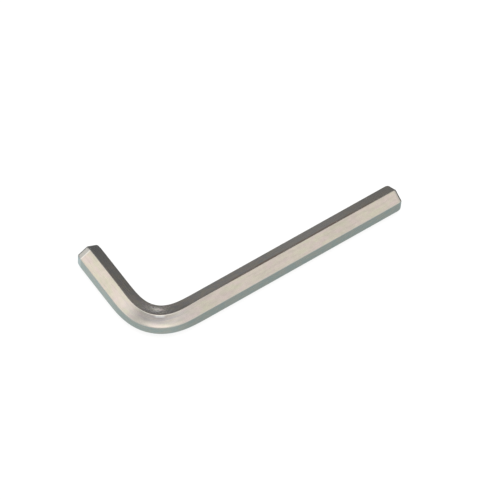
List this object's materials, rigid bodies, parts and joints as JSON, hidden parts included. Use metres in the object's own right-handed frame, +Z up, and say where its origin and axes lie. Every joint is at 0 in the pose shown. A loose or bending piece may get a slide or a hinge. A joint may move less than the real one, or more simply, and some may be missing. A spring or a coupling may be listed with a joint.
{
  "type": "hex key",
  "caption": "L-shaped key of bright hexagonal steel bar, bevelled at both ends to turn screws with an internal hexagon.",
  "frame": {"origin": "middle of the footprint, on the surface that the key lies on", "axes": "+X along the long arm to its free end, +Y along the short arm to its free end, +Z up from the surface that the key lies on"},
  "size_m": [0.1, 0.0405, 0.0091],
  "materials": {
    "drawn_steel": "satin, with faint lines along the bar from drawing and slightly brighter edges"
  },
  "bodies": {
    "root": {"hex_key": "drawn_steel"}
  },
  "joints": []
}
